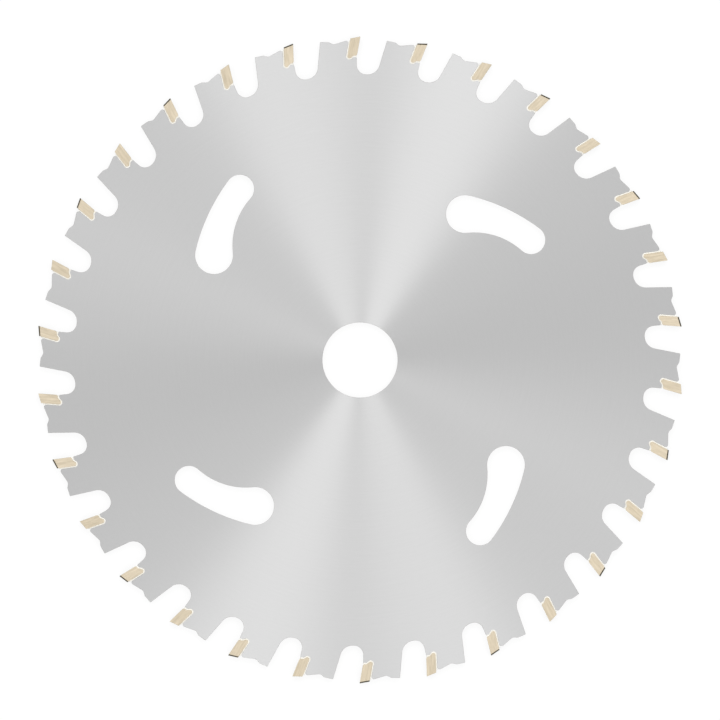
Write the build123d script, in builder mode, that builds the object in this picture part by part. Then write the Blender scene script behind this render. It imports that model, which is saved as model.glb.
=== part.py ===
"""Carbide-tipped circular saw blade, lying flat.

The blade is one laser-cut steel plate with a carbide tip brazed into the seat of each tooth.
Frame: Z is the arbor axis, the origin is the centre of the bore halfway through the plate, and the
first tooth points along +Y. Seen from +Z the blade cuts clockwise. Lengths are millimetres, angles
are degrees.

A tooth is drawn where the first one stands: its cutting corner is on the Y axis, +X is the way it
cuts and +Y points outwards. The other teeth are the same drawing turned about Z.
"""

import os
from math import cos, degrees, hypot, isclose, radians, tan, tau

from build123d import *

# Blade as a whole
blade_diameter = 136.525
bore_diameter = 15.875
plate_thickness = 1.1
kerf_width = 1.6
tooth_count = 30

# Carbide tips
tip_thickness = 2.0
tip_height = 4.03
hook_angle = 10.0
top_relief = 10.75
top_bevel = 10.0
radial_side_relief = 1.0
back_side_relief = 2.5
tip_seat_length = 0.71
heel_slope = 38.0
heel_radius = 0.45
instep_radius = 0.8

# Braze between a tip and its seat
braze_gap = 0.24

# Back of each tooth, from the tip down to the valley and up to the chip-limiting shoulder
land_drop = 0.62
land_slope = 17.0
land_corner_radius = 0.35
ledge_corner_radius = 0.2
shoulder_drop = 0.67
shoulder_length = 1.82
shoulder_relief = 7.25
shoulder_end_radius = 0.8
ramp_slope = 26.5
valley_radius = 1.0

# Gullet in front of each tooth
gullet_mouth = 5.63
gullet_depth = 8.0
gullet_back_lean = 5.0
gullet_front_radius = 2.0
gullet_back_radius = 2.6
tip_overhang = 0.06

# Comma-shaped slots that keep the plate flat when it is hot
slot_count = 4
slot_azimuth = 35.125
slot_sweep = 19.25
slot_tail_distance = 44.11
slot_head_distance = 37.93
slot_tail_radius = 3.0
slot_head_radius = 4.0
slot_outer_radius = 40.5
slot_inner_radius = 15.0

# Share of an edge that the rounding of one of its corners may take up
even_share = 0.49
heel_share = 0.62
instep_share = 0.36

# Corners nearer than this to one circle about the axis are the same corner of different teeth
same_place = 0.001

# Radii, angles and directions that follow, the directions as the first tooth has them
full_circle = degrees(tau)
pitch = full_circle / tooth_count
tip_radius = blade_diameter / 2
shoulder_radius = tip_radius - shoulder_drop
forward = Axis.X.direction
outward = Axis.Y.direction
across = Axis.Z.direction


def turned(direction, angle):
    """Direction turned anticlockwise in the plane of the blade."""
    return direction.rotate(Axis.Z, angle)


def on_circle(radius, azimuth):
    """Point at a radius, at an azimuth counted anticlockwise from the first tooth."""
    return turned(outward, azimuth) * radius


def crossing(point, direction, other_point, other_direction):
    """Point where two straight edges meet, each given by a point on it and its direction."""
    return Axis(point, direction).intersect(Axis(other_point, other_direction))


def fitting_radius(wanted, before, corner, after, share=even_share):
    """Corner radius as wanted, or as large as its share of the corner's shorter edge allows."""
    shorter = min((before - corner).length, (after - corner).length)
    half_corner = (before - corner).get_angle(after - corner) / 2
    return min(wanted, share * shorter * tan(radians(half_corner)))


# Corners of a tip, seen from the side of the blade
face = turned(outward, -hook_angle)
cutting_corner = outward * tip_radius
face_foot = crossing(cutting_corner, face, cutting_corner - outward * tip_height, forward)
instep = face_foot - forward * tip_seat_length
back_point = cutting_corner - forward * (tip_thickness / cos(radians(hook_angle)))
top_heel = crossing(back_point, face, cutting_corner, turned(forward, top_relief))
foot_heel = crossing(back_point, face, instep, turned(forward, heel_slope))

with BuildSketch() as tip_profile:
    with BuildLine():
        Polyline(cutting_corner, top_heel, foot_heel, instep, face_foot, close=True)
    make_face()
    heel_corner = tip_profile.vertices().sort_by_distance(foot_heel)[0]
    fillet(heel_corner, fitting_radius(heel_radius, top_heel, foot_heel, instep, heel_share))
    instep_corner = tip_profile.vertices().sort_by_distance(instep)[0]
    fillet(instep_corner, fitting_radius(instep_radius, face_foot, instep, foot_heel, instep_share))

# The seat is the tip's outline, wider by the braze all round
with BuildSketch() as seat_profile:
    add(tip_profile.sketch)
    offset(amount=braze_gap, kind=Kind.ARC)

# Outline of one tooth before its seat is cut, from its shoulder to the next tooth's shoulder
mouth_azimuth = degrees(gullet_mouth / shoulder_radius)
shoulder_azimuth = pitch - mouth_azimuth
shoulder = on_circle(shoulder_radius, shoulder_azimuth)
next_shoulder = on_circle(shoulder_radius, -mouth_azimuth)
shoulder_end = shoulder + turned(forward, shoulder_azimuth - shoulder_relief) * shoulder_length
land = turned(forward, land_slope)
land_top = crossing(back_point, face, cutting_corner - outward * land_drop, forward)
valley = crossing(land_top, land, shoulder_end, turned(forward, -ramp_slope))
wall_foot = Vector(face_foot.X - tip_overhang, tip_radius - gullet_depth)
nose = crossing(land_top, land, wall_foot, outward)
gullet_back = turned(outward, -pitch - gullet_back_lean)
floor_back = crossing(next_shoulder, gullet_back, wall_foot, forward)

with BuildLine() as tooth_edge:
    FilletPolyline(
        shoulder, shoulder_end, valley, nose, wall_foot, floor_back, next_shoulder,
        radius=[
            fitting_radius(shoulder_end_radius, shoulder, shoulder_end, valley),
            fitting_radius(valley_radius, shoulder_end, valley, nose),
            0,
            fitting_radius(gullet_front_radius, nose, wall_foot, floor_back),
            fitting_radius(gullet_back_radius, wall_foot, floor_back, next_shoulder),
        ],
    )

with BuildSketch() as toothed_disc:
    with BuildLine():
        with PolarLocations(0, tooth_count):
            add(tooth_edge.line)
    make_face()

# One slot: a small tail circle and a large head circle joined by two tangent arcs
with BuildSketch() as slot_profile:
    with BuildLine():
        tail_centre = on_circle(slot_tail_distance, slot_azimuth)
        head_centre = on_circle(slot_head_distance, slot_azimuth + slot_sweep)
        tail = CenterArc(tail_centre, slot_tail_radius, 0, full_circle, mode=Mode.PRIVATE)
        head = CenterArc(head_centre, slot_head_radius, 0, full_circle, mode=Mode.PRIVATE)
        outer_side = ArcArcTangentArc(
            tail, head, slot_outer_radius, Side.LEFT, (Keep.INSIDE, Keep.OUTSIDE)
        )
        inner_side = ArcArcTangentArc(
            tail, head, slot_inner_radius, Side.LEFT, (Keep.OUTSIDE, Keep.OUTSIDE)
        )
        TangentArc(outer_side @ 1, inner_side @ 1, tangent=outer_side % 1)
        TangentArc(inner_side @ 0, outer_side @ 0, tangent=-(inner_side % 0))
    make_face()

# Saw plate: one disc with teeth, seats, slots and bore
seat_back = back_point - forward * (braze_gap / cos(radians(hook_angle)))
land_corner = crossing(seat_back, face, land_top, land)
ledge_corner = Vector(wall_foot.X, face_foot.Y - braze_gap)
rounded_corners = ((land_corner, land_corner_radius), (ledge_corner, ledge_corner_radius))

with BuildPart() as saw_plate:
    with BuildSketch() as plate_profile:
        add(toothed_disc.sketch)
        with PolarLocations(0, tooth_count):
            add(seat_profile.sketch, mode=Mode.SUBTRACT)
        for corner, radius in rounded_corners:
            same_corners = plate_profile.vertices().filter_by(
                lambda vertex: isclose(hypot(vertex.X, vertex.Y), corner.length, abs_tol=same_place)
            )
            fillet(same_corners, radius)
        with PolarLocations(0, slot_count):
            add(slot_profile.sketch, mode=Mode.SUBTRACT)
        Circle(bore_diameter / 2, mode=Mode.SUBTRACT)
    extrude(amount=plate_thickness / 2, both=True)
saw_plate.part.label = "saw_plate"

# Braze seams: what fills each seat round its tip, level with both faces of the plate
with BuildPart() as braze_seams:
    with BuildSketch(mode=Mode.PRIVATE) as seam_profile:
        add(toothed_disc.sketch)
        add(seat_profile.sketch, mode=Mode.INTERSECT)
        add(tip_profile.sketch, mode=Mode.SUBTRACT)
    with BuildSketch():
        with PolarLocations(0, tooth_count):
            add(seam_profile.sketch)
    extrude(amount=plate_thickness / 2, both=True)
braze_seams.part.label = "braze_seams"

os.makedirs("parts", exist_ok=True)
export_step(saw_plate.part, "parts/saw_plate.step")
export_step(braze_seams.part, "parts/braze_seams.step")

# Carbide tips: each narrows inwards and backwards from its cutting edge, and its top falls away to
# one side, so that neighbours cut the two sides of the kerf in turn
relieved_tips = []
for high_side in (1, -1):
    with BuildPart() as relieved_tip:
        with BuildSketch():
            add(tip_profile.sketch)
        extrude(amount=kerf_width / 2, both=True)
        for side in (1, -1):
            side_corner = cutting_corner + across * (side * kerf_width / 2)
            narrowing = forward * tan(radians(back_side_relief))
            narrowing += outward * tan(radians(radial_side_relief))
            split(bisect_by=Plane(side_corner, z_dir=across * side - narrowing), keep=Keep.BOTTOM)
        high_corner = cutting_corner + across * (high_side * kerf_width / 2)
        fall = across * (high_side * tan(radians(top_bevel)))
        top_normal = turned(outward, top_relief) - fall
        split(bisect_by=Plane(high_corner, z_dir=top_normal), keep=Keep.BOTTOM)
    relieved_tips.append(relieved_tip)

for index in range(tooth_count):
    with BuildPart() as carbide_tip:
        add(relieved_tips[index % 2].part, rotation=(0, 0, -index * pitch))
    name = f"carbide_tip_{index + 1:02d}"
    carbide_tip.part.label = name
    export_step(carbide_tip.part, f"parts/{name}.step")
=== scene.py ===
import bpy
import numpy as np
from mathutils.geometry import delaunay_2d_cdt
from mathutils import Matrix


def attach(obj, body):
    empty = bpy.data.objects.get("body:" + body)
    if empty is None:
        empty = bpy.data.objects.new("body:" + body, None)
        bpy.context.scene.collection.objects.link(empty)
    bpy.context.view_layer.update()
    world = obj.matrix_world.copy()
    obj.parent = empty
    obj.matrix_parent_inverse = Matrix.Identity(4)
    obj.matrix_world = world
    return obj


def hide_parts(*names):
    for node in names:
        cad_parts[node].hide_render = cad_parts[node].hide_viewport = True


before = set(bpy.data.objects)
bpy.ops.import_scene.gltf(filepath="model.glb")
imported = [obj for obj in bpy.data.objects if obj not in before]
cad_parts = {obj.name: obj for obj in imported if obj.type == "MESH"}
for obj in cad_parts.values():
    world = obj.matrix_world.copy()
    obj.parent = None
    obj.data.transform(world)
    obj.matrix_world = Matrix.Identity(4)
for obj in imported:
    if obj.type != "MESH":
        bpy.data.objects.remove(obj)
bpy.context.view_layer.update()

# Saw plate: one disc of hardened steel. A laser cuts its outline, tip seats, slots and bore, then
# both faces are ground flat on a turning table, which leaves fine rings round the bore. It carries
# all the rest. Lengths are millimetres and angles degrees; the first tooth stands along +Y.

tooth_count = 30
pitch = 360 / tooth_count
cutting_radius = 68.2625
bore_radius = 7.9375
plate_half = 0.55
edge_break = 0.04


def spoke(angle):
    """Unit vector at an angle counted anticlockwise from +X: (cos, sin). The angle may be an array."""
    angle = np.radians(angle)
    return np.stack([np.cos(angle), np.sin(angle)], axis=-1)


def turned(points, angle):
    """Points turned anticlockwise round the bore: x cos a - y sin a, x sin a + y cos a."""
    cosine, sine = spoke(angle)
    return points @ np.array([[cosine, sine], [-sine, cosine]])


def meet(start, angle, other_start, other_angle):
    """Where two lines cross. Each goes through a point at an angle: point + s * spoke(angle)."""
    directions = np.column_stack([spoke(angle), -spoke(other_angle)])
    return start + np.linalg.solve(directions, other_start - start)[0] * spoke(angle)


def bearing(vector):
    """Angle of a vector, anticlockwise from +X."""
    return np.degrees(np.arctan2(vector[1], vector[0]))


def rounded(corners, radii, steps=13):
    """Closed outline with each corner swapped for an arc of so many points.

    The arc's centre is on the corner's bisector, radius / sin(half the corner) away, and point j is
    centre - radius * (bisector turned by an angle that runs from one tangent point to the other).
    """
    before = np.roll(corners, 1, axis=0) - corners
    after = np.roll(corners, -1, axis=0) - corners
    before /= np.linalg.norm(before, axis=1, keepdims=True)
    after /= np.linalg.norm(after, axis=1, keepdims=True)
    bisector = before + after
    bisector /= np.linalg.norm(bisector, axis=1, keepdims=True)
    half_corner = np.arccos(np.sum(before * bisector, axis=1))
    side = np.sign(after[:, 0] * before[:, 1] - after[:, 1] * before[:, 0])
    centre = corners + bisector * (radii / np.sin(half_corner))[:, None]
    swing = np.linspace(-1, 1, steps) * (side * (np.pi / 2 - half_corner))[:, None]
    x, y = -bisector[:, 0, None], -bisector[:, 1, None]
    arm = np.stack([
        x * np.cos(swing) - y * np.sin(swing),
        x * np.sin(swing) + y * np.cos(swing),
    ], axis=-1)
    return (centre[:, None] + radii[:, None, None] * arm).reshape(-1, 2)


def arc(centre, radius, start, end, steps):
    """Arc without its last point: centre + radius * spoke(angle from start to end)."""
    return centre + radius * spoke(np.linspace(start, end, steps, endpoint=False))


def outward_normals(outline):
    """Right-hand normal at each point of a closed outline, from the chord between its neighbours."""
    chord = np.roll(outline, -1, axis=0) - np.roll(outline, 1, axis=0)
    chord /= np.linalg.norm(chord, axis=1, keepdims=True)
    return np.stack([chord[:, 1], -chord[:, 0]], axis=-1)


def slab(outlines, half, rim):
    """Flat slab between closed outlines, metal on their left, with its edges rounded.

    Point (k, j) of a wall is outline point k moved into the metal by rim * (1 - cos a) at the height
    half - rim * (1 - sin a), where a falls from 90 to 0 degrees over the upper edge; the lower edge
    mirrors it. The two flat faces are the outermost rows of all the walls, filled in.
    """
    round_edge = np.radians(np.linspace(90, 0, 4))
    inset = rim * (1 - np.cos(round_edge))
    height = half - rim * (1 - np.sin(round_edge))
    inset = np.concatenate([inset, inset[::-1]])
    height = np.concatenate([height, -height[::-1]])
    rows = len(inset)
    points, walls, rings, first = [], [], [], 0
    for outline in outlines:
        flat = outline[:, None] - inset[:, None] * outward_normals(outline)[:, None]
        lifted = np.broadcast_to(height[:, None], flat.shape[:2] + (1,))
        points.append(np.concatenate([flat, lifted], axis=-1).reshape(-1, 3))
        k = np.arange(len(outline))[:, None] * rows + first
        k_next = np.roll(k, -1, axis=0)
        j = np.arange(rows - 1)
        walls.append(np.stack([k + j, k + j + 1, k_next + j + 1, k_next + j], -1).reshape(-1, 4))
        rings.append((k[:, 0] // rows).tolist())
        first += len(points[-1])
    points = np.concatenate(points)
    # Output of kind 2 is triangles that fill the rings and leave those inside another open
    filled = delaunay_2d_cdt(points[::rows, :2].tolist(), [], rings, 2, 1e-6)
    upper = np.array(filled[2]) * rows
    lower = (upper + rows - 1)[:, ::-1]
    return points, np.concatenate(walls), upper, lower


def new_piece(name, points, parts, materials):
    """Mesh object at the origin, from points in millimetres and parts (faces, smooth, material)."""
    mesh = bpy.data.meshes.new(name)
    faces = [face for part, _, _ in parts for face in part.tolist()]
    mesh.from_pydata((points / 1000).tolist(), [], faces)
    counts = [len(part) for part, _, _ in parts]
    mesh.polygons.foreach_set("use_smooth", np.repeat([smooth for _, smooth, _ in parts], counts))
    mesh.polygons.foreach_set("material_index", np.repeat([number for _, _, number in parts], counts))
    for material in materials:
        mesh.materials.append(material)
    piece = bpy.data.objects.new(name, mesh)
    bpy.context.scene.collection.objects.link(piece)
    return piece


# The tip's outline comes first, because the plate is cut to fit it
tip_thickness = 2.0
tip_height = 4.03
tip_foot_length = 0.71
tip_lean = 80.0
tip_top_slope = 10.75
tip_foot_slope = 38.0
edge_point = np.array([0.0, cutting_radius])
face_foot = meet(edge_point, tip_lean, edge_point - (0, tip_height), 0)
instep = face_foot - (tip_foot_length, 0)
back_point = edge_point - (tip_thickness / np.cos(np.radians(90 - tip_lean)), 0)
top_heel = meet(back_point, tip_lean, edge_point, tip_top_slope)
foot_heel = meet(back_point, tip_lean, instep, tip_foot_slope)

# Its seat lies a braze gap away from it
braze_gap = 0.24
seat_back = back_point + braze_gap * spoke(tip_lean + 90)
seat_slope = instep + braze_gap * spoke(tip_foot_slope - 90)
seat_floor = face_foot - (0, braze_gap)
seat_heel = meet(seat_back, tip_lean, seat_slope, tip_foot_slope)
seat_instep = meet(seat_slope, tip_foot_slope, seat_floor, 0)

# One tooth of the plate, from its shoulder clockwise to the next tooth's shoulder
shoulder_radius = cutting_radius - 0.67
shoulder_length = 1.82
shoulder_relief = 7.25
ramp_slope = -26.5
land_slope = 17.0
land_drop = 0.62
gullet_mouth = 5.63
gullet_depth = 8.0
gullet_lean = 5.0
tip_overhang = 0.06
mouth = np.degrees(gullet_mouth / shoulder_radius)
shoulder = shoulder_radius * spoke(90 + pitch - mouth)
next_shoulder = shoulder_radius * spoke(90 - mouth)
shoulder_end = shoulder + shoulder_length * spoke(pitch - mouth - shoulder_relief)
land_top = meet(back_point, tip_lean, edge_point - (0, land_drop), 0)
valley = meet(land_top, land_slope, shoulder_end, ramp_slope)
land_corner = meet(seat_back, tip_lean, land_top, land_slope)
wall_foot = np.array([face_foot[0] - tip_overhang, cutting_radius - gullet_depth])
ledge = np.array([wall_foot[0], seat_floor[1]])
floor_back = meet(next_shoulder, 90 - pitch - gullet_lean, wall_foot, 0)

tooth = np.array([
    shoulder, shoulder_end, valley, land_corner, seat_heel, seat_instep, ledge, wall_foot, floor_back,
])
tooth_radii = np.array([0.05, 0.8, 1.0, 0.5, 0.69, 0.50, 0.3, 2.0, 2.6])
teeth = np.concatenate([turned(tooth, -index * pitch) for index in range(tooth_count)])
rim_outline = rounded(teeth[::-1], np.tile(tooth_radii, tooth_count)[::-1])

# One slot: a small tail circle and a large head circle, joined by an outer and an inner arc
slot_count = 4
tail_radius = 3.0
head_radius = 4.0
outer_radius = 40.5
inner_radius = 15.0
tail_azimuth = 35.125
head_azimuth = tail_azimuth + 19.25
tail_centre = 44.11 * spoke(90 + tail_azimuth)
head_centre = 37.93 * spoke(90 + head_azimuth)


def between(point, reach, other, other_reach, side):
    """Point at two given distances from two points: the third corner of the triangle."""
    gap = np.linalg.norm(other - point)
    ahead = (gap**2 + reach**2 - other_reach**2) / (2 * gap)
    aside = side * np.sqrt(reach**2 - ahead**2)
    step_x, step_y = (other - point) / gap
    return point + ahead * np.array([step_x, step_y]) + aside * np.array([-step_y, step_x])


outer_centre = between(
    tail_centre, outer_radius - tail_radius, head_centre, outer_radius - head_radius, 1
)
inner_centre = between(
    tail_centre, inner_radius + tail_radius, head_centre, inner_radius + head_radius, 1
)
outer_start = bearing(tail_centre - outer_centre)
outer_end = bearing(head_centre - outer_centre)
inner_start = bearing(head_centre - inner_centre) % 360
inner_end = bearing(tail_centre - inner_centre) % 360
slot = np.concatenate([
    arc(outer_centre, outer_radius, outer_start, outer_end, 24),
    arc(head_centre, head_radius, outer_end, inner_start + 180, 32),
    arc(inner_centre, inner_radius, inner_start, inner_end, 24),
    arc(tail_centre, tail_radius, inner_end - 180, outer_start, 32),
])
slots = [turned(slot, index * 360 / slot_count)[::-1] for index in range(slot_count)]
bore = arc(np.zeros(2), bore_radius, 360, 0, 180)


def add_node(tree, kind, inputs, **settings):
    """New shader node. Each input takes a value, or a link where another node's socket is given."""
    node = tree.nodes.new(kind)
    for name, value in settings.items():
        setattr(node, name, value)
    for name, value in inputs.items():
        if isinstance(value, bpy.types.NodeSocket):
            tree.links.new(value, node.inputs[name])
        else:
            node.inputs[name].default_value = value
    return node


def new_group(name, inputs, outputs):
    """Shader node group with named sockets, and the sockets to read from and to link to inside it."""
    group = bpy.data.node_groups.new(name, "ShaderNodeTree")
    for socket, kind, value in inputs:
        made = group.interface.new_socket(name=socket, in_out="INPUT", socket_type=kind)
        if value is not None:
            made.default_value = value
    for socket, kind in outputs:
        group.interface.new_socket(name=socket, in_out="OUTPUT", socket_type=kind)
    given = group.nodes.new("NodeGroupInput").outputs
    wanted = group.nodes.new("NodeGroupOutput").inputs
    return group, given, wanted


# Lines that a grinding wheel leaves. Noise is squeezed across the lines and drawn out along them:
# its first coordinate is the distance across, the other two are the place, divided by Stretch.
lines_group, given, wanted = new_group(
    "Grinding lines",
    [
        ("Across", "NodeSocketFloat", 0.0),
        ("Place", "NodeSocketVector", None),
        ("Lines per mm", "NodeSocketFloat", 2.0),
        ("Stretch", "NodeSocketFloat", 20.0),
    ],
    [("Lines", "NodeSocketFloat")],
)
across = add_node(
    lines_group, "ShaderNodeMath", {0: given["Across"], 1: given["Lines per mm"]}, operation="MULTIPLY"
)
slow = add_node(
    lines_group, "ShaderNodeMath", {0: given["Lines per mm"], 1: given["Stretch"]}, operation="DIVIDE"
)
along = add_node(
    lines_group, "ShaderNodeVectorMath", {0: given["Place"], "Scale": slow.outputs[0]}, operation="SCALE"
)
along = add_node(lines_group, "ShaderNodeSeparateXYZ", {0: along.outputs[0]})
drawn_out = add_node(
    lines_group, "ShaderNodeCombineXYZ",
    {"X": across.outputs[0], "Y": along.outputs["X"], "Z": along.outputs["Y"]},
)
noise = add_node(
    lines_group, "ShaderNodeTexNoise",
    {"Vector": drawn_out.outputs[0], "Scale": 1.0, "Detail": 6.0, "Roughness": 0.65},
)
spread = add_node(
    lines_group, "ShaderNodeMapRange",
    {"Value": noise.outputs["Fac"], "From Min": 0.25, "From Max": 0.75, "To Min": -1.0},
)
lines_group.links.new(spread.outputs["Result"], wanted["Lines"])

# Uneven patches of a cut or cast surface: noise, spread over -1 to 1
patches_group, given, wanted = new_group(
    "Patches",
    [
        ("Place", "NodeSocketVector", None),
        ("Scale", "NodeSocketFloat", 1.0),
        ("Detail", "NodeSocketFloat", 3.0),
    ],
    [("Patches", "NodeSocketFloat")],
)
noise = add_node(
    patches_group, "ShaderNodeTexNoise",
    {"Vector": given["Place"], "Scale": given["Scale"], "Detail": given["Detail"]},
)
spread = add_node(
    patches_group, "ShaderNodeMapRange",
    {"Value": noise.outputs["Fac"], "From Min": 0.3, "From Max": 0.7, "To Min": -1.0},
)
patches_group.links.new(spread.outputs["Result"], wanted["Patches"])


def new_material(name, colour, metallic, roughness):
    """Material with a Principled BSDF, and the tree and that node to build on."""
    material = bpy.data.materials.new(name)
    material.use_nodes = True
    material.diffuse_color = (*colour, 1)
    shader = material.node_tree.nodes["Principled BSDF"]
    shader.inputs["Base Color"].default_value = (*colour, 1)
    shader.inputs["Metallic"].default_value = metallic
    shader.inputs["Roughness"].default_value = roughness
    return material, material.node_tree, shader


def vary(tree, socket, low, high, amount):
    """Links a colour or a number that runs from low to high as the amount goes from -1 to 1."""
    is_colour = isinstance(low, tuple)
    ends = {"To Min": 0.0, "To Max": 1.0} if is_colour else {"To Min": low, "To Max": high}
    ranged = add_node(tree, "ShaderNodeMapRange", {"Value": amount, "From Min": -1.0, **ends})
    result = ranged.outputs["Result"]
    if is_colour:
        # Inputs 6 and 7 of a Mix node are its two colours, and output 2 is the mixed one
        colours = {"Factor": result, 6: (*low, 1), 7: (*high, 1)}
        result = add_node(tree, "ShaderNodeMix", colours, data_type="RGBA").outputs[2]
    tree.links.new(result, socket)


def bump(tree, shader, height, distance, strength):
    """Bump of a height from -1 to 1, with a distance in metres."""
    raised = {"Height": height, "Distance": distance, "Strength": strength}
    node = add_node(tree, "ShaderNodeBump", raised)
    tree.links.new(node.outputs["Normal"], shader.inputs["Normal"])


def in_millimetres(tree):
    """Object coordinates in millimetres."""
    place = add_node(tree, "ShaderNodeTexCoord", {})
    scaled = add_node(
        tree, "ShaderNodeVectorMath", {0: place.outputs["Object"], "Scale": 1000.0}, operation="SCALE"
    )
    return scaled.outputs[0]


# Ground faces: rings of lines round the bore, so light streaks across them
ground_steel, tree, shader = new_material("ground_steel", (0.72, 0.72, 0.72), 1.0, 0.45)
place = in_millimetres(tree)
from_axis = add_node(
    tree, "ShaderNodeVectorMath", {0: place, 1: (1.0, 1.0, 0.0)}, operation="MULTIPLY"
)
from_axis = add_node(tree, "ShaderNodeVectorMath", {0: from_axis.outputs[0]}, operation="LENGTH")
rings = add_node(
    tree, "ShaderNodeGroup",
    {"Across": from_axis.outputs["Value"], "Place": place, "Lines per mm": 2.6, "Stretch": 16.0},
    node_tree=lines_group,
).outputs["Lines"]
vary(tree, shader.inputs["Base Color"], (0.706, 0.706, 0.706), (0.734, 0.734, 0.734), rings)
vary(tree, shader.inputs["Roughness"], 0.437, 0.463, rings)
shader.inputs["Anisotropic"].default_value = 1.0
shader.inputs["Anisotropic Rotation"].default_value = 0.25
tangent = add_node(tree, "ShaderNodeTangent", {}, direction_type="RADIAL", axis="Z")
tree.links.new(tangent.outputs[0], shader.inputs["Tangent"])

# Walls: upright ripples that the laser leaves, a little darker than the ground faces
cut_steel, tree, shader = new_material("laser_cut_steel", (0.36, 0.35, 0.34), 1.0, 0.42)
place = in_millimetres(tree)
stretched = add_node(
    tree, "ShaderNodeVectorMath", {0: place, 1: (6.0, 6.0, 0.5)}, operation="MULTIPLY"
)
ripple = add_node(
    tree, "ShaderNodeGroup", {"Place": stretched.outputs[0]}, node_tree=patches_group
).outputs["Patches"]
vary(tree, shader.inputs["Base Color"], (0.30, 0.285, 0.27), (0.44, 0.43, 0.415), ripple)
vary(tree, shader.inputs["Roughness"], 0.36, 0.50, ripple)
bump(tree, shader, ripple, 0.00002, 0.5)

points, walls, upper, lower = slab([rim_outline, *slots, bore], plate_half, edge_break)
plate = new_piece(
    "ground_saw_plate", points, [(walls, True, 1), (upper, False, 0), (lower, False, 0)],
    [ground_steel, cut_steel],
)
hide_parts("saw_plate")
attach(plate, "root")

# Braze seams: silver alloy that ran round the back and the foot of each tip and froze there as a
# hollow fillet, from the plate's face up to the tip's flank. All 30 are one mesh, like the CAD node.

kerf_half = 0.8
radial_narrowing = np.tan(np.radians(1.0))
backward_narrowing = np.tan(np.radians(2.5))


def tip_half(points):
    """Half the tip's thickness: it narrows inwards from the cutting circle and backwards."""
    inwards = cutting_radius - points[..., 1]
    return kerf_half - radial_narrowing * inwards + backward_narrowing * points[..., 0]


def along_path(path, spacing):
    """Points at an even spacing along a path, and their distances from its start."""
    distance = np.concatenate([[0], np.cumsum(np.linalg.norm(np.diff(path, axis=0), axis=1))])
    even = np.linspace(0, distance[-1], int(distance[-1] / spacing) + 2)
    return np.stack([np.interp(even, distance, path[:, axis]) for axis in (0, 1)], axis=-1), even


tip_corners = np.array([edge_point, top_heel, foot_heel, instep, face_foot])
tip_radii = np.array([0.06, 0.04, 0.45, 0.74, 0.4])
tip_outline = rounded(tip_corners, tip_radii)

# The seam's path runs down the back of the tip and round its heel and instep, each 13 points of the
# outline, and ends with the first few points of the front corner
heel_and_foot = tip_outline[2 * 13:4 * 13 + 5]
seam_start = land_top - 0.22 * spoke(tip_lean)
seam_path, run = along_path(np.vstack([seam_start, heel_and_foot]), 0.12)
step = np.gradient(seam_path, axis=0)
step /= np.linalg.norm(step, axis=1, keepdims=True)
out = np.stack([step[:, 1], -step[:, 0]], axis=-1)

# More of the alloy gathered under the heel and at the front end
heel_run = run[np.argmin(np.linalg.norm(seam_path - foot_heel, axis=1))]
heel_pool = 0.05 * np.exp(-(((run - heel_run) / 0.5) ** 2))
front_pool = 0.12 * np.exp(-(((run[-1] - run) / 0.5) ** 2))

# Across the seam: share 0 at the tip, 1 on the plate. The upper half goes out, the lower comes back.
share = np.array([-0.12, 0.0, 0.12, 0.3, 0.5, 0.7, 0.88, 1.0, 1.06])
hollow = np.clip(1 - share, 0, 1) ** 1.8
cross_share = np.concatenate([share, share[::-1]])
cross_hollow = np.concatenate([hollow, hollow[::-1]])
cross_side = np.repeat([1, -1], len(share))
outer_pair = [len(share) - 1, len(share)]


def seam(chance, azimuth):
    """One seam: its section carried along the seam path, then turned to its tooth.

    Point (k, j) lies at path point k + width * share j * normal, at the height plate + climb *
    hollow j. Width and climb waver along the path by a few slow sines. At the land the section leans
    so that it ends level with it, and both ends close in on the section's middle.
    """
    phases = chance.uniform(0, 2 * np.pi, (2, 3, 1))
    waver = np.sin(run * np.array([[0.9], [1.9], [3.1]]) + phases).sum(axis=1) / 3
    width = braze_gap - 0.015 + 0.015 * waver[0] + heel_pool + front_pool
    climb = (tip_half(seam_path) - plate_half - 0.012) * (0.92 + 0.06 * waver[1])
    lean = np.clip(1 - run / 0.7, 0, 1) * np.tan(np.radians(land_slope - (90 - tip_lean)))
    aside = (width[:, None] * cross_share)[..., None]
    flat = seam_path[:, None] + aside * out[:, None] + aside * lean[:, None, None] * step[:, None]
    height = cross_side * (plate_half + 0.004 + climb[:, None] * cross_hollow)
    height[:, outer_pair] = [plate_half - 0.01, 0.01 - plate_half]
    body = np.concatenate([turned(flat, azimuth), height[..., None]], axis=-1)
    middle = body[[0, -1]].mean(axis=1, keepdims=True)
    closing = np.array([0.5, 0.85])[:, None, None]
    first = middle[0] + (body[0] - middle[0]) * closing
    last = middle[1] + (body[-1] - middle[1]) * closing[::-1]
    return np.concatenate([first, body, last])


chance = np.random.default_rng(5)
seams = np.array([seam(chance, -index * pitch) for index in range(tooth_count)])
number = np.arange(seams[..., 0].size).reshape(seams.shape[:3])
around = np.roll(number, -1, axis=2)
quads = np.stack([number[:, :-1], around[:, :-1], around[:, 1:], number[:, 1:]], axis=-1).reshape(-1, 4)
ends = np.concatenate([number[:, 0, ::-1], number[:, -1]])

braze, tree, shader = new_material("silver_braze", (0.87, 0.85, 0.795), 1.0, 0.68)
place = in_millimetres(tree)
flow = add_node(
    tree, "ShaderNodeGroup", {"Place": place, "Scale": 2.2}, node_tree=patches_group
).outputs["Patches"]
vary(tree, shader.inputs["Base Color"], (0.815, 0.79, 0.715), (0.93, 0.915, 0.875), flow)
vary(tree, shader.inputs["Roughness"], 0.62, 0.74, flow)
bump(tree, shader, flow, 0.00003, 0.4)

fillets = new_piece("braze_fillets", seams.reshape(-1, 3), [(quads, True, 0), (ends, True, 0)], [braze])
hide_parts("braze_seams")
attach(fillets, "root")

# Carbide tips: 30 pieces of sintered carbide, brazed in and then ground. Hook face and top are dark
# and fine; the flanks keep lengthwise wheel marks and look buff. The top falls away to one side,
# and to the other on the next tooth, so that neighbours cut the two sides of the kerf in turn.

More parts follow.
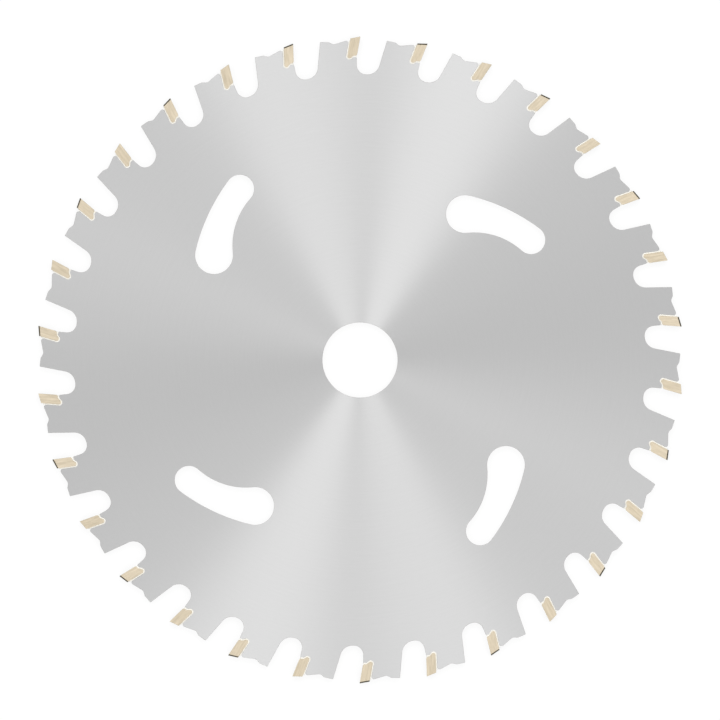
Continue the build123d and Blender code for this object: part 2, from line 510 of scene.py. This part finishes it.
top_bevel = np.tan(np.radians(10.0))

flank_carbide, tree, shader = new_material("ground_carbide_flank", (0.72, 0.62, 0.47), 1.0, 0.5)
marks = add_node(tree, "ShaderNodeUVMap", {}, uv_map="tip")
marks = add_node(
    tree, "ShaderNodeVectorMath", {0: marks.outputs[0], "Scale": 1000.0}, operation="SCALE"
)
across = add_node(tree, "ShaderNodeSeparateXYZ", {0: marks.outputs[0]}).outputs["X"]
lines = add_node(
    tree, "ShaderNodeGroup",
    {"Across": across, "Place": marks.outputs[0], "Lines per mm": 3.0, "Stretch": 9.0},
    node_tree=lines_group,
).outputs["Lines"]
tone = add_node(tree, "ShaderNodeAttribute", {}, attribute_name="tone", attribute_type="GEOMETRY")
toned = add_node(tree, "ShaderNodeMath", {0: lines, 1: tone.outputs["Fac"]}, operation="ADD")
vary(tree, shader.inputs["Base Color"], (0.56, 0.485, 0.36), (0.79, 0.695, 0.545), toned.outputs[0])
vary(tree, shader.inputs["Roughness"], 0.44, 0.56, lines)
bump(tree, shader, lines, 0.00001, 0.4)

edge_carbide, tree, shader = new_material("ground_carbide_edge", (0.076, 0.065, 0.050), 1.0, 0.35)
shader.inputs["Specular Tint"].default_value = (0.47, 0.45, 0.39, 1)
place = in_millimetres(tree)
flattened = add_node(
    tree, "ShaderNodeVectorMath", {0: place, 1: (1.0, 1.0, 8.0)}, operation="MULTIPLY"
)
fine = add_node(
    tree, "ShaderNodeGroup", {"Place": flattened.outputs[0], "Scale": 1.5, "Detail": 4.0},
    node_tree=patches_group,
).outputs["Patches"]
vary(tree, shader.inputs["Base Color"], (0.061, 0.052, 0.040), (0.092, 0.079, 0.060), fine)
vary(tree, shader.inputs["Roughness"], 0.30, 0.42, fine)
bump(tree, shader, fine, 0.00001, 0.3)

tip_points, tip_walls, tip_upper, tip_lower = slab([tip_outline], kerf_half, 0.01)
from_top = (edge_point - tip_points[:, :2]) @ spoke(tip_top_slope + 90)
near_top = from_top < 0.15


def relieved(points, high_side):
    """Slab of the tip's outline, given its relief.

    The top slides down along the face by bevel * (distance from the high side) / cos(angle between
    the face and the top's normal), and then each height shrinks to the tip's half thickness there.
    """
    points = points.copy()
    half = tip_half(points)
    fall = top_bevel * (half - high_side * points[:, 2] * half / kerf_half)
    slide = fall / np.cos(np.radians(90 - tip_lean + tip_top_slope))
    points[:, :2] -= (near_top * slide)[:, None] * spoke(tip_lean)
    points[:, 2] *= tip_half(points) / kerf_half
    return points


for index in range(tooth_count):
    name = f"carbide_tip_{index + 1:02d}"
    is_even = index % 2 == 0
    points = relieved(tip_points, 1 if is_even else -1)
    across_tip = points[:, :2] @ spoke(tip_lean - 90) + 7.0 * index
    along_tip = points[:, :2] @ spoke(tip_lean)
    points[:, :2] = turned(points[:, :2], -index * pitch)
    tip = new_piece(
        f"ground_{name}", points, [(tip_walls, True, 1), (tip_upper, False, 0), (tip_lower, False, 0)],
        [flank_carbide, edge_carbide],
    )
    shade = (-0.08 if is_even else 0.08) + chance.uniform(-0.05, 0.05)
    layer = tip.data.attributes.new("tone", "FLOAT", "POINT")
    layer.data.foreach_set("value", np.full(len(points), shade, dtype=np.float32))
    corner = np.empty(len(tip.data.loops), dtype=np.int32)
    tip.data.loops.foreach_get("vertex_index", corner)
    layer = tip.data.uv_layers.new(name="tip")
    layer.data.foreach_set("uv", (np.stack([across_tip, along_tip], -1)[corner] / 1000).ravel())
    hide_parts(name)
    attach(tip, "root")

# Floor: a pale sheet that the blade lies on. It shows white to the camera and in reflections, and
# takes the blade's soft shadow with the rest of its surface.

floor_size = 3000.0
floor_level = -0.8
corners = floor_size / 2 * np.array([[-1, -1], [1, -1], [1, 1], [-1, 1]])
corners = np.column_stack([corners, np.full(4, floor_level)])

sheet, tree, shader = new_material("white_floor", (0.9, 0.9, 0.9), 0.0, 0.9)
shader.inputs["Specular IOR Level"].default_value = 0.0
rays = add_node(tree, "ShaderNodeLightPath", {})
seen = add_node(
    tree, "ShaderNodeMath", {0: rays.outputs["Is Camera Ray"], 1: rays.outputs["Is Glossy Ray"]},
    operation="MAXIMUM",
)
seen = add_node(
    tree, "ShaderNodeMath", {0: seen.outputs[0], 1: rays.outputs["Is Transmission Ray"]},
    operation="MAXIMUM",
)
seen = add_node(tree, "ShaderNodeMath", {0: seen.outputs[0], 1: 0.85}, operation="MULTIPLY")
white = add_node(tree, "ShaderNodeEmission", {"Color": (1, 1, 1, 1), "Strength": 1.02})
blend = add_node(
    tree, "ShaderNodeMixShader", {0: seen.outputs[0], 1: shader.outputs[0], 2: white.outputs[0]}
)
output = next(node for node in tree.nodes if node.type == "OUTPUT_MATERIAL")
tree.links.new(blend.outputs[0], output.inputs["Surface"])
floor = new_piece("floor", corners, [(np.array([[0, 1, 2, 3]]), False, 0)], [sheet])

# Studio light: an even white room, pure white where the camera sees it, and large soft lamps whose
# light the ground rings turn into the pale bands across the plate.

world = bpy.data.worlds.new("white_room")
world.use_nodes = True
background = world.node_tree.nodes["Background"]
background.inputs["Color"].default_value = (1, 1, 1, 1)
rays = add_node(world.node_tree, "ShaderNodeLightPath", {})
strength = add_node(
    world.node_tree, "ShaderNodeMapRange",
    {"Value": rays.outputs["Is Camera Ray"], "To Min": 0.92, "To Max": 1.0},
)
world.node_tree.links.new(strength.outputs["Result"], background.inputs["Strength"])
bpy.context.scene.world = world


def soft_lamp(name, azimuth, width, power):
    """Square area lamp, 1.6 m from the blade and facing it from a clockwise azimuth, 50 degrees up."""
    distance = 1.6
    elevation = 50
    data = bpy.data.lights.new(name, "AREA")
    data.shape = "SQUARE"
    data.size = width
    data.energy = power
    lamp = bpy.data.objects.new(name, data)
    aside = spoke(90 - azimuth) * distance * np.cos(np.radians(elevation))
    lamp.location = (*aside, distance * np.sin(np.radians(elevation)))
    lamp.rotation_euler = (np.radians(90 - elevation), 0, np.radians(180 - azimuth))
    bpy.context.scene.collection.objects.link(lamp)


soft_lamp("lamp_back_right", 20.4, 0.5, 2.85)
soft_lamp("lamp_back_left", -14.6, 0.5, 2.36)
soft_lamp("lamp_left", 287.8, 0.5, 0.53)
soft_lamp("lamp_front_right", 135, 1.1, 1.93)
soft_lamp("lamp_front_left", 217.6, 1.1, 1.02)

# Camera: square above the blade, seeing 151.93 mm across as the photograph does
camera = bpy.data.objects.new("camera", bpy.data.cameras.new("camera"))
camera.data.type = "ORTHO"
camera.data.ortho_scale = 0.15193
camera.location = (0, 0, 0.6)
camera.rotation_euler = (0, 0, np.radians(0.07))
bpy.context.scene.collection.objects.link(camera)
bpy.context.scene.camera = camera

bpy.context.scene.view_settings.view_transform = "Standard"
